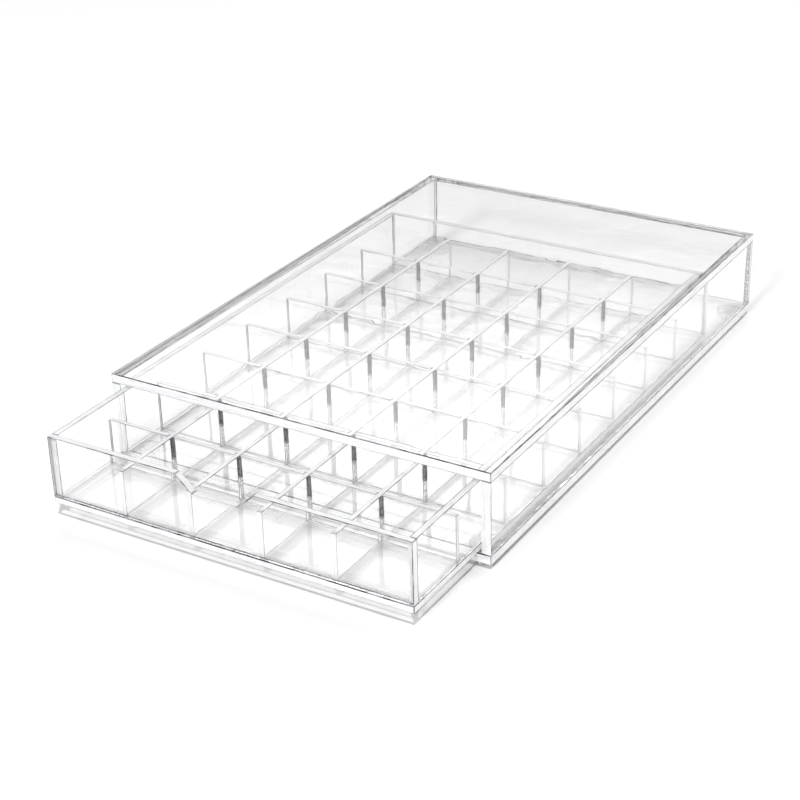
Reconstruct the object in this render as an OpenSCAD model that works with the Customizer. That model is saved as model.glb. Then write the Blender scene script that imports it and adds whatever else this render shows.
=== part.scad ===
// Coffee pod drawer: a clear acrylic case, open at the front, with a tray that slides in it.
// Crossed dividers part the tray into square compartments, one for each pod.
// Millimetres, +Z up. The origin is at table level, under the middle of the whole footprint
// with the tray drawn out by drawer_out. The front faces -Y.

/* [Compartments] */
// Compartments side by side
columns = 5; // [2:1:6]
// Compartments one behind another
rows = 8; // [3:1:10]
// Clear width and clear length of a compartment
cell = 40.8; // [34:0.2:60]

/* [Dividers] */
// Thickness of the divider sheet
divider_t = 3; // [2:0.5:5]
// Height of the dividers above the tray's floor
divider_h = 26.7; // [15:0.1:60]
// Clearance on each side of a divider in the slot that it crosses
slot_gap = 0.15; // [0.05:0.05:0.5]
// Clearance between the bottoms of two slots that meet at a crossing
lap_gap = 0.2; // [0.05:0.05:1]
// Clearance between a divider's end and the wall
divider_end_gap = 0.15; // [0.05:0.05:0.5]

/* [Drawer] */
// Thickness of the tray's sheet
drawer_t = 4; // [3:0.5:8]
// Height of the tray's walls above the dividers
rim_h = 9.7; // [1:0.1:40]
// How far the tray stands out of the case, from front face to front edge
drawer_out = 64.2; // [5:0.1:250]

/* [Finger notch] */
// Width of the notch along the front panel's top edge
notch_top_w = 48; // [20:1:70]
// Width of the notch at its bottom
notch_bottom_w = 28; // [5:1:70]
// Depth of the notch
notch_d = 9.2; // [3:0.1:12]
// Distance from the front panel's middle to the notch's middle
notch_offset = -4; // [-6:0.5:6]

/* [Case] */
// Thickness of the case's sheet
case_t = 5.5; // [3:0.1:10]
// Clearance between the tray and each side of the case
side_gap = 2; // [0.3:0.1:5]
// Clearance under the tray
floor_gap = 0.4; // [0.3:0.1:3]
// Clearance over the tray
headroom = 2; // [0.3:0.1:10]
// Clearance behind the closed tray
back_gap = 0.5; // [0.3:0.1:10]
// How far the closed tray's front stands out of the case
front_proud = 4.8; // [0:0.1:5]

/* [Feet] */
// Diameter of a bumper foot
foot_d = 17; // [6:0.5:24]
// Height of a bumper foot
foot_h = 3; // [2:0.1:8]
// Radius of the round edge at a foot's underside
foot_edge_r = 1; // [0.2:0.1:1.5]
// Distance from a foot's middle to the edges of the base plate
foot_inset = 12; // [12:0.5:40]

/* [Hidden] */
// Compartments and dividers
pitch = cell + divider_t;
inside_w = columns * pitch - divider_t;
inside_l = rows * pitch - divider_t;
lap_h = (divider_h + lap_gap) / 2;         // depth of the slots, a little over half the height
slot_w = divider_t + 2 * slot_gap;

// Tray
drawer_w = inside_w + 2 * drawer_t;
drawer_l = inside_l + 2 * drawer_t;
wall_h = divider_h + rim_h;

// Case
case_w = drawer_w + 2 * side_gap + 2 * case_t;
case_l = drawer_l - front_proud + back_gap + case_t;
case_inside_h = floor_gap + drawer_t + wall_h + headroom;

// Levels above the table
base_z = foot_h;
case_floor_z = base_z + case_t;
drawer_z = case_floor_z + floor_gap;
drawer_floor_z = drawer_z + drawer_t;
case_top_z = case_floor_z + case_inside_h;

// Places from front to back
drawer_front_y = -(case_l + drawer_out) / 2;
drawer_back_y = drawer_front_y + drawer_l;
case_front_y = drawer_front_y + drawer_out;
case_back_y = case_front_y + case_l;
foot_x = case_w / 2 - foot_inset;
foot_front_y = case_front_y + foot_inset;
foot_back_y = case_back_y - foot_inset;

$fn = 64;

ACRYLIC = [0.90, 0.93, 0.95, 0.45];
DIVIDER_ACRYLIC = [0.82, 0.87, 0.90, 0.55];
SOFT_CLEAR = [0.80, 0.82, 0.82, 0.80];

// ---- Shapes that repeat ----

// A flat sheet between two opposite corners
module sheet(low, high) {
    translate(low) cube(high - low);
}

// A clear stick-on bumper: flat underneath, with a round lower edge
module bumper(x, y) {
    color(SOFT_CLEAR)
    translate([x, y, 0])
    rotate_extrude()
    union() {
        square([foot_d / 2 - foot_edge_r, foot_h]);
        translate([0, foot_edge_r]) square([foot_d / 2, foot_h - foot_edge_r]);
        intersection() {
            translate([foot_d / 2 - foot_edge_r, foot_edge_r]) circle(foot_edge_r);
            square([foot_d / 2, foot_h]);
        }
    }
}

// A side of the case, from its inner face at x_in outwards
module case_side(x_in, outwards) {
    x_out = x_in + outwards * case_t;
    color(ACRYLIC)
    sheet([min(x_in, x_out), case_front_y, case_floor_z], [max(x_in, x_out), case_back_y, case_top_z]);
}

// A side wall of the tray, between its front and back panels
module drawer_side(x_in, outwards) {
    x_out = x_in + outwards * drawer_t;
    color(ACRYLIC)
    sheet([min(x_in, x_out), drawer_front_y + drawer_t, drawer_floor_z],
          [max(x_in, x_out), drawer_back_y - drawer_t, drawer_floor_z + wall_h]);
}

// ---- Case ----

// The base runs under the whole case, and the tray slides on it
module case_base_plate() {
    color(ACRYLIC)
    sheet([-case_w / 2, case_front_y, base_z], [case_w / 2, case_back_y, case_floor_z]);
}

module case_left_side() {
    case_side(-case_w / 2 + case_t, -1);
}

module case_right_side() {
    case_side(case_w / 2 - case_t, 1);
}

// The back stands on the base, between the two sides
module case_back_panel() {
    color(ACRYLIC)
    sheet([-case_w / 2 + case_t, case_back_y - case_t, case_floor_z],
          [case_w / 2 - case_t, case_back_y, case_top_z]);
}

// The top lies over the sides and the back
module case_top_panel() {
    color(ACRYLIC)
    sheet([-case_w / 2, case_front_y, case_top_z], [case_w / 2, case_back_y, case_top_z + case_t]);
}

module foot_front_left() {
    bumper(-foot_x, foot_front_y);
}

module foot_front_right() {
    bumper(foot_x, foot_front_y);
}

module foot_back_left() {
    bumper(-foot_x, foot_back_y);
}

module foot_back_right() {
    bumper(foot_x, foot_back_y);
}

// ---- Tray ----

// The tray's four walls stand on this plate
module drawer_bottom_plate() {
    color(ACRYLIC)
    sheet([-drawer_w / 2, drawer_front_y, drawer_z], [drawer_w / 2, drawer_back_y, drawer_floor_z]);
}

// The front panel covers the ends of the side walls and has the finger notch in its top edge
module drawer_front_panel() {
    color(ACRYLIC)
    translate([0, drawer_front_y + drawer_t, drawer_floor_z])
    rotate([90, 0, 0])
    linear_extrude(height = drawer_t)
    difference() {
        translate([-drawer_w / 2, 0]) square([drawer_w, wall_h]);
        translate([notch_offset, wall_h])
        polygon([
            [-notch_top_w / 2, 0],
            [-notch_bottom_w / 2, -notch_d],
            [notch_bottom_w / 2, -notch_d],
            [notch_top_w / 2, 0],
            [notch_top_w / 2, 1],
            [-notch_top_w / 2, 1]
        ]);
    }
}

module drawer_back_panel() {
    color(ACRYLIC)
    sheet([-drawer_w / 2, drawer_back_y - drawer_t, drawer_floor_z],
          [drawer_w / 2, drawer_back_y, drawer_floor_z + wall_h]);
}

module drawer_left_side() {
    drawer_side(-inside_w / 2, -1);
}

module drawer_right_side() {
    drawer_side(inside_w / 2, 1);
}

// ---- Dividers: they stand on the tray's floor, and half-lap slots let them cross ----

// Runs from front to back between column i and the next, with its slots open at the bottom
module lengthwise_divider(i) {
    x = -inside_w / 2 + i * pitch - divider_t;
    y = drawer_front_y + drawer_t;
    color(DIVIDER_ACRYLIC)
    difference() {
        sheet([x, y + divider_end_gap, drawer_floor_z],
              [x + divider_t, y + inside_l - divider_end_gap, drawer_floor_z + divider_h]);
        for (j = [1:rows - 1])
            translate([x - 1, y + j * pitch - divider_t - slot_gap, drawer_floor_z - 1])
            cube([divider_t + 2, slot_w, lap_h + 1]);
    }
}

// Runs across between row j and the next, with its slots open at the top
module cross_divider(j) {
    x = -inside_w / 2;
    y = drawer_front_y + drawer_t + j * pitch - divider_t;
    color(DIVIDER_ACRYLIC)
    difference() {
        sheet([x + divider_end_gap, y, drawer_floor_z],
              [x + inside_w - divider_end_gap, y + divider_t, drawer_floor_z + divider_h]);
        for (i = [1:columns - 1])
            translate([x + i * pitch - divider_t - slot_gap, y - 1, drawer_floor_z + divider_h - lap_h])
            cube([slot_w, divider_t + 2, lap_h + 1]);
    }
}

case_base_plate();
case_left_side();
case_right_side();
case_back_panel();
case_top_panel();
foot_front_left();
foot_front_right();
foot_back_left();
foot_back_right();
drawer_bottom_plate();
drawer_front_panel();
drawer_back_panel();
drawer_left_side();
drawer_right_side();
for (i = [1:columns - 1])
    lengthwise_divider(i);
for (j = [1:rows - 1])
    cross_divider(j);
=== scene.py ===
"""A coffee pod drawer of clear acrylic sheet: an open-fronted case and a tray of square compartments."""
import math

import bpy
from mathutils import Matrix, Vector


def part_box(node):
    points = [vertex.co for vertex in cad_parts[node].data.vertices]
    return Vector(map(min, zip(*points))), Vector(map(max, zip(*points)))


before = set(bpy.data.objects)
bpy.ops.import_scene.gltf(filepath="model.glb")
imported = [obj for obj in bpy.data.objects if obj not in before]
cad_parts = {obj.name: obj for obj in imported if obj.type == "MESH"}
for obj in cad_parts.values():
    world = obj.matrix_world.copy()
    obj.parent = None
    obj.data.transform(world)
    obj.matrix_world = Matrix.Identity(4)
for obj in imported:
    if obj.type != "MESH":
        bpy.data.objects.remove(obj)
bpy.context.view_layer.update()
scene = bpy.context.scene
MM = 0.001                               # m

CASE_SHEETS = ["case_base_plate", "case_left_side", "case_right_side", "case_back_panel", "case_top_panel"]
TRAY_SHEETS = ["drawer_bottom_plate", "drawer_front_panel", "drawer_back_panel",
               "drawer_left_side", "drawer_right_side"]
DIVIDERS = sorted(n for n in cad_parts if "divider" in n)
FEET = sorted(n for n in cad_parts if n.startswith("foot_"))


# ---- Camera ----

CAMERA_PLACE = Vector((495.4, -845.9, 504.5)) * MM
CAMERA_AZIMUTH = math.radians(31.42)
CAMERA_ELEVATION = math.radians(27.08)
CAMERA_ROLL = math.radians(-1.54)
SENSOR = 36.0                            # mm
LENS = 82.76                             # mm
CLIP_END = 50                            # m


def add_camera():
    """The camera, turned by its azimuth, elevation and roll."""
    level = math.cos(CAMERA_ELEVATION)
    back = Vector((
        math.sin(CAMERA_AZIMUTH) * level, -math.cos(CAMERA_AZIMUTH) * level, math.sin(CAMERA_ELEVATION)))
    right = Vector((0, 0, 1)).cross(back).normalized()
    up = back.cross(right)
    turn = Matrix((right, up, back)).transposed().to_4x4()
    data = bpy.data.cameras.new("camera")
    data.lens = LENS
    data.sensor_width = SENSOR
    data.clip_end = CLIP_END
    camera = bpy.data.objects.new("camera", data)
    camera.matrix_world = Matrix.Translation(CAMERA_PLACE) @ turn @ Matrix.Rotation(CAMERA_ROLL, 4, "Z")
    scene.collection.objects.link(camera)
    scene.camera = camera


add_camera()


# ---- Node tools ----

def linear(code):
    """The linear colour of an sRGB hex value."""
    channels = [int(code[i:i + 2], 16) / 255 for i in (1, 3, 5)]
    curve = [c / 12.92 if c <= 0.04045 else ((c + 0.055) / 1.055) ** 2.4 for c in channels]
    return (*curve, 1.0)


def add(tree, kind, settings=None, links=None):
    """A node with its settings, socket values and links. links maps a socket to a value or to another
    socket."""
    made = tree.nodes.new(kind)
    for name, value in (settings or {}).items():
        setattr(made, name, value)
    for name, value in (links or {}).items():
        if isinstance(value, bpy.types.NodeSocket):
            tree.links.new(value, made.inputs[name])
        else:
            made.inputs[name].default_value = value
    return made


def new_material(name):
    """An empty node material and its tree."""
    material = bpy.data.materials.new(name)
    material.use_nodes = True
    material.node_tree.nodes.clear()
    return material, material.node_tree


def patches(tree, sizes, low, high):
    """A soft random pattern between two values. sizes is how long its patches are along X, Y and Z."""
    place = add(tree, "ShaderNodeTexCoord")
    scaled = add(tree, "ShaderNodeMapping", links={
        "Vector": place.outputs["Object"], "Scale": [1 / size for size in sizes]})
    noise = add(tree, "ShaderNodeTexNoise", links={
        "Vector": scaled.outputs["Vector"], "Scale": 1.0, "Detail": 3.0})
    # Nearly all of the noise lies between 0.4 and 0.6.
    return add(tree, "ShaderNodeMapRange", {"interpolation_type": "SMOOTHSTEP"}, {
        "Value": noise.outputs[0], "From Min": 0.4, "From Max": 0.6,
        "To Min": low, "To Max": high}).outputs["Result"]


# A Mix node's two colours, and the colour that it gives
FIRST_COLOUR = 6
SECOND_COLOUR = 7
MIXED_COLOUR = 2


def mottled(tree, sizes, first, second):
    """A colour that goes in patches from one sRGB hex value to another."""
    return add(tree, "ShaderNodeMix", {"data_type": "RGBA"}, {
        "Factor": patches(tree, sizes, 0.0, 1.0),
        FIRST_COLOUR: linear(first), SECOND_COLOUR: linear(second)}).outputs[MIXED_COLOUR]


# ---- Materials ----

ACRYLIC_IOR = 1.49
POLYURETHANE_IOR = 1.5


def lamp_light_through(tree, share):
    """How much of a lamp's light a clear surface lets through: share of it straight on, and less at a
    grazing angle."""
    slant = add(tree, "ShaderNodeLayerWeight", links={"Blend": 0.5}).outputs["Facing"]
    mirrored = add(tree, "ShaderNodeMath", {"operation": "POWER"}, {0: slant, 1: 5.0}).outputs[0]
    return add(tree, "ShaderNodeMapRange", links={
        "Value": mirrored, "To Min": share, "To Max": 0.0}).outputs["Result"]


def finish_clear(tree, shader, share):
    """Joins a clear shader and the straight way that the light on matt things takes through it."""
    path = add(tree, "ShaderNodeLightPath")
    matt_light = add(tree, "ShaderNodeMath", {"operation": "MAXIMUM"}, {
        0: path.outputs["Is Shadow Ray"], 1: path.outputs["Is Diffuse Ray"]}).outputs[0]
    straight = add(tree, "ShaderNodeBsdfTransparent", links={"Color": lamp_light_through(tree, share)})
    surface = add(tree, "ShaderNodeMixShader", links={
        0: matt_light, 1: shader.outputs[0], 2: straight.outputs[0]})
    add(tree, "ShaderNodeOutputMaterial", links={"Surface": surface.outputs[0]})


def clear_acrylic():
    """Acrylic cast between two panes of glass: clear and glossy faces, with a slight waviness that bends
    what they mirror."""
    material, tree = new_material("clear_cast_acrylic")
    # The waves of a cast sheet are about 60 mm long, and far less than 0.1 mm deep.
    waves = patches(tree, [60 * MM] * 3, 0.0, 1.0)
    wavy = add(tree, "ShaderNodeBump", links={"Height": waves, "Distance": 0.05 * MM}).outputs["Normal"]
    shader = add(tree, "ShaderNodeBsdfPrincipled", links={
        "Base Color": linear("#ffffff"), "Roughness": 0.0, "IOR": ACRYLIC_IOR, "Transmission Weight": 1.0,
        "Normal": wavy})
    finish_clear(tree, shader, 1.0)
    return material


def cut_edge(name, thin, share):
    """An edge that a cutter or a laser left: it scatters light into a pale line with streaks along the cut.
    thin is the axis that the sheet is thin along. share is how much lamp light the edge lets through."""
    material, tree = new_material(name + "_" + "xyz"[thin])
    # Long streaks run along the cut, with finer marks between them. Real ones are finer still. These are
    # as coarse as they need to be to show.
    streak = [35 * MM] * 3
    streak[thin] = 1.2 * MM
    mark = [4 * MM] * 3
    mark[thin] = 0.3 * MM
    marks = patches(tree, mark, 0.0, 1.0)
    scored = add(tree, "ShaderNodeBump", links={"Height": marks, "Distance": 0.02 * MM}).outputs["Normal"]
    shader = add(tree, "ShaderNodeBsdfPrincipled", links={
        "Base Color": mottled(tree, streak, "#eff0f3", "#ffffff"),
        "Roughness": patches(tree, streak, 0.3, 0.08),
        "IOR": ACRYLIC_IOR, "Transmission Weight": 0.3, "Normal": scored})
    finish_clear(tree, shader, share)
    return material


def dark_outline_corner():
    """The corner between face and edge, bevelled into a narrow band coloured near-black: a painted dark
    outline, painted shade along the sheets' corners, broken into patches."""
    material, tree = new_material("corner_painted_dark_outline")
    # The painted dark outline breaks into lighter and darker patches about 9 mm long.
    shader = add(tree, "ShaderNodeBsdfPrincipled", links={
        "Base Color": mottled(tree, [9 * MM] * 3, "#08090a", "#93969d"),
        "Roughness": 0.3, "IOR": ACRYLIC_IOR, "Transmission Weight": 0.3})
    finish_clear(tree, shader, 0.0)
    return material


def slot_wall_painted_dark():
    """The wall of a slot, cut by laser and coloured near-black: painted shade that draws the slot as a dark
    line.
    """
    material, tree = new_material("slot_wall_painted_dark")
    # The painted shade goes lighter and darker in patches about 5 mm long.
    shader = add(tree, "ShaderNodeBsdfPrincipled", links={
        "Base Color": mottled(tree, [5 * MM] * 3, "#0c0d0e", "#3a3c40"),
        "Roughness": 0.25, "IOR": ACRYLIC_IOR, "Transmission Weight": 0.05})
    finish_clear(tree, shader, 0.5)
    return material


def clear_bumper():
    """A bumper moulded from clear polyurethane: soft and a little cloudy, with faint swirls."""
    material, tree = new_material("clear_polyurethane")
    # The swirls are about 4 mm across, and the surface is dulled in spots of 2 mm.
    shader = add(tree, "ShaderNodeBsdfPrincipled", links={
        "Base Color": mottled(tree, [4 * MM] * 3, "#dcdfdd", "#ffffff"),
        "Roughness": patches(tree, [2 * MM] * 3, 0.02, 0.1),
        "IOR": POLYURETHANE_IOR, "Transmission Weight": 0.9})
    finish_clear(tree, shader, 0.9)
    return material


def white_table():
    """A lacquered board: plain white, with a soft sheen."""
    material, tree = new_material("white_table")
    shader = add(tree, "ShaderNodeBsdfPrincipled", links={
        "Base Color": linear("#fbfbfb"), "Roughness": 0.2, "IOR": 1.3})
    add(tree, "ShaderNodeOutputMaterial", links={"Surface": shader.outputs[0]})
    return material


FACE = clear_acrylic()
# Edges for sheets that are thin along X, Y and Z. A laser melts its cut smooth, so more light gets through.
MILLED_EDGES = [cut_edge("milled_edge", axis, 0.15) for axis in range(3)]
LASER_CUT_EDGES = [cut_edge("laser_cut_edge", axis, 0.8) for axis in range(3)]
CORNER = dark_outline_corner()
SLOT_WALL = slot_wall_painted_dark()
BUMPER = clear_bumper()


# ---- Sheets and bumpers ----

SEAM = 0.05 * MM                         # how far a welded side sinks into its neighbour
SHEET_CORNER = 0.45 * MM                 # width of the bevelled corners of the case and the tray, which carry a painted dark outline
DIVIDER_CORNER = 0.25 * MM
SAME_PLACE = 0.001 * MM                  # points nearer than this are one point
ALONG_AXIS = 0.9                         # least part of a side's normal that makes it face along an axis
WELDED_SIDES = {
    "case_left_side": ["-Z", "+Z"],
    "case_right_side": ["-Z", "+Z"],
    "case_back_panel": ["-X", "+X", "-Z", "+Z"],
    "drawer_front_panel": ["-Z"],
    "drawer_back_panel": ["-Z"],
    "drawer_left_side": ["-Y", "+Y", "-Z"],
    "drawer_right_side": ["-Y", "+Y", "-Z"],
}
# A sheet's material slots, in this order. Only cross dividers have the last one.
FACE_PART, EDGE_PART, CORNER_PART, SLOT_WALL_PART = range(4)


def axis_and_way(side):
    """The number of the axis and the direction, 1 or -1, of a side that is named like -Z or +X."""
    return "XYZ".index(side[1]), 1 if side[0] == "+" else -1


def shift(piece, direction, distance):
    """A modifier that moves a piece along X, Y or Z."""
    moved = piece.modifiers.new("shift_" + direction, "DISPLACE")
    moved.direction = direction
    moved.mid_level = 0
    moved.strength = distance
    return moved


def sink_side(piece, side):
    """Sinks one side of a piece a little into the piece that it is welded or stuck to."""
    axis, way = axis_and_way(side)
    furthest = max(v.co[axis] * way for v in piece.data.vertices)
    ends = [v.index for v in piece.data.vertices if v.co[axis] * way > furthest - SAME_PLACE]
    group = piece.vertex_groups.new(name="side_" + side)
    group.add(ends, 1.0, "ADD")
    shift(piece, side[1], SEAM * way).vertex_group = group.name


def is_clear_seam(side, normal):
    """Whether a side with this normal is the named welded side, and its solvent weld has made it clear.
    The ends of the tray's side walls, which face along Y, keep the pale look of their milling."""
    axis, way = axis_and_way(side)
    return side[1] != "Y" and normal[axis] * way > ALONG_AXIS


def sheet_part(node, polygon, low, high, thin):
    """Which material slot one side of a sheet has."""
    normal = polygon.normal
    if abs(normal[thin]) > ALONG_AXIS:
        return FACE_PART
    if any(is_clear_seam(side, normal) for side in WELDED_SIDES.get(node, [])):
        return FACE_PART
    if node in DIVIDERS:
        along = 1 if node.startswith("lengthwise") else 0
        inside = low[along] + MM < polygon.center[along] < high[along] - MM
        if inside and abs(normal[along]) > ALONG_AXIS:
            return SLOT_WALL_PART if node.startswith("cross") else FACE_PART
    return EDGE_PART


def finish_sheet(node, edges, corner):
    """Gives a sheet's sides their materials, closes its seams and bevels its corners, which carry a painted
    dark outline.
    """
    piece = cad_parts[node]
    low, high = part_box(node)
    size = high - low
    thin = min(range(3), key=lambda axis: size[axis])
    slots = [FACE, edges[thin], CORNER]
    if node.startswith("cross"):
        slots.append(SLOT_WALL)
    piece.data.materials.clear()
    for material in slots:
        piece.data.materials.append(material)
    for polygon in piece.data.polygons:
        polygon.material_index = sheet_part(node, polygon, low, high, thin)
    weld = piece.modifiers.new("weld", "WELD")
    weld.merge_threshold = SAME_PLACE
    for side in WELDED_SIDES.get(node, []):
        sink_side(piece, side)
    if node in DIVIDERS:
        shift(piece, "Z", SEAM)          # a divider stands loose, a hair above the tray's floor
    # The bevel takes the corner material, whose near-black colour is painted shade along the corners.
    scraped = piece.modifiers.new("dark_outline_corners", "BEVEL")
    scraped.width = corner
    scraped.segments = 2
    scraped.limit_method = "ANGLE"
    scraped.material = CORNER_PART


def finish_foot(node):
    """Makes a foot a clear bumper that is stuck to the base plate."""
    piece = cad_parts[node]
    piece.data.materials.clear()
    piece.data.materials.append(BUMPER)
    sink_side(piece, "+Z")


for node in CASE_SHEETS + TRAY_SHEETS:
    finish_sheet(node, MILLED_EDGES, SHEET_CORNER)
for node in DIVIDERS:
    finish_sheet(node, LASER_CUT_EDGES, DIVIDER_CORNER)
for node in FEET:
    finish_foot(node)


# ---- Floor, light and surroundings ----

# How bright the studio looks in each direction, where 1 is white. Left and right are as seen from the front.
COVE = 1.0                               # low white cove all round
FRONT = 0.9
RIGHT = 1.2
BEHIND_RIGHT = 1.6
BEHIND_LEFT_LOW = 0.45                   # a grey wall
BEHIND_LEFT_HIGH = 2.2                   # a bright panel above it
LEFT = 0.3
CEILING = 0.0
FLOOR_SIZE = 30                          # m


def add_floor():
    """The plain table that the object stands on."""
    bpy.ops.mesh.primitive_plane_add(size=FLOOR_SIZE, location=(0, 0, 0))
    floor = bpy.context.object
    floor.name = "floor"
    floor.data.materials.append(white_table())


def add_soft_box(name, towards, strength, spread):
    """A soft box far enough off to light evenly. spread is how many degrees wide it looks from the object."""
    lamp = bpy.data.lights.new(name, "SUN")
    lamp.energy = strength
    lamp.angle = math.radians(spread)
    holder = bpy.data.objects.new(name, lamp)
    holder.rotation_euler = Vector(towards).to_track_quat("Z", "Y").to_euler()
    scene.collection.objects.link(holder)


def add_studio():
    """Soft walls that are dark on the left and bright on the right and behind, under a dark ceiling."""
    world = bpy.data.worlds.new("studio")
    world.use_nodes = True
    scene.world = world
    tree = world.node_tree
    tree.nodes.clear()
    place = add(tree, "ShaderNodeTexCoord")
    parts = add(tree, "ShaderNodeSeparateXYZ", links={"Vector": place.outputs["Generated"]})
    height = parts.outputs["Z"]
    turn = add(tree, "ShaderNodeMath", {"operation": "ARCTAN2"}, {
        0: parts.outputs["Y"], 1: parts.outputs["X"]})
    angle = add(tree, "ShaderNodeMath", {"operation": "DEGREES"}, {0: turn.outputs[0]}).outputs[0]
    soft = {"interpolation_type": "SMOOTHSTEP"}
    behind_left = add(tree, "ShaderNodeMapRange", soft, {
        "Value": height, "From Min": 0.36, "From Max": 0.5,
        "To Min": BEHIND_LEFT_LOW, "To Max": BEHIND_LEFT_HIGH}).outputs["Result"]
    # Each line turns what came before it softly into its own brightness, between two angles from +X
    # towards +Y or between two heights, where 0 is the horizon and 1 is straight up.
    brightness = LEFT
    for measure, start, end, own in (
            (angle, -165, -135, FRONT),
            (angle, -45, -15, RIGHT),
            (angle, 15, 45, BEHIND_RIGHT),
            (angle, 80, 100, behind_left),
            (angle, 135, 165, LEFT),
            (height, 0.16, 0.08, COVE),
            (height, 0.55, 0.68, CEILING)):
        brightness = add(tree, "ShaderNodeMapRange", soft, {
            "Value": measure, "From Min": start, "From Max": end,
            "To Min": brightness, "To Max": own}).outputs["Result"]
    light = add(tree, "ShaderNodeBackground", links={"Color": (1, 1, 1, 1), "Strength": brightness})
    add(tree, "ShaderNodeOutputWorld", links={"Surface": light.outputs[0]})


add_floor()
add_soft_box("soft_box_overhead", towards=(0.2, -0.31, 0.93), strength=1.75, spread=3)
add_soft_box("soft_box_in_front", towards=(0.0, -0.82, 0.57), strength=1.35, spread=10)
add_studio()

# Light crosses dozens of clear sheets on its way, so it is followed for much longer than usual.
THROUGH_ALL_SHEETS = 300
scene.cycles.blur_glossy = 0
scene.cycles.caustics_reflective = False
scene.cycles.caustics_refractive = False
scene.cycles.max_bounces = THROUGH_ALL_SHEETS
scene.cycles.transparent_max_bounces = THROUGH_ALL_SHEETS
scene.cycles.transmission_bounces = THROUGH_ALL_SHEETS
scene.cycles.glossy_bounces = THROUGH_ALL_SHEETS
scene.cycles.diffuse_bounces = 6
scene.view_settings.view_transform = "Standard"
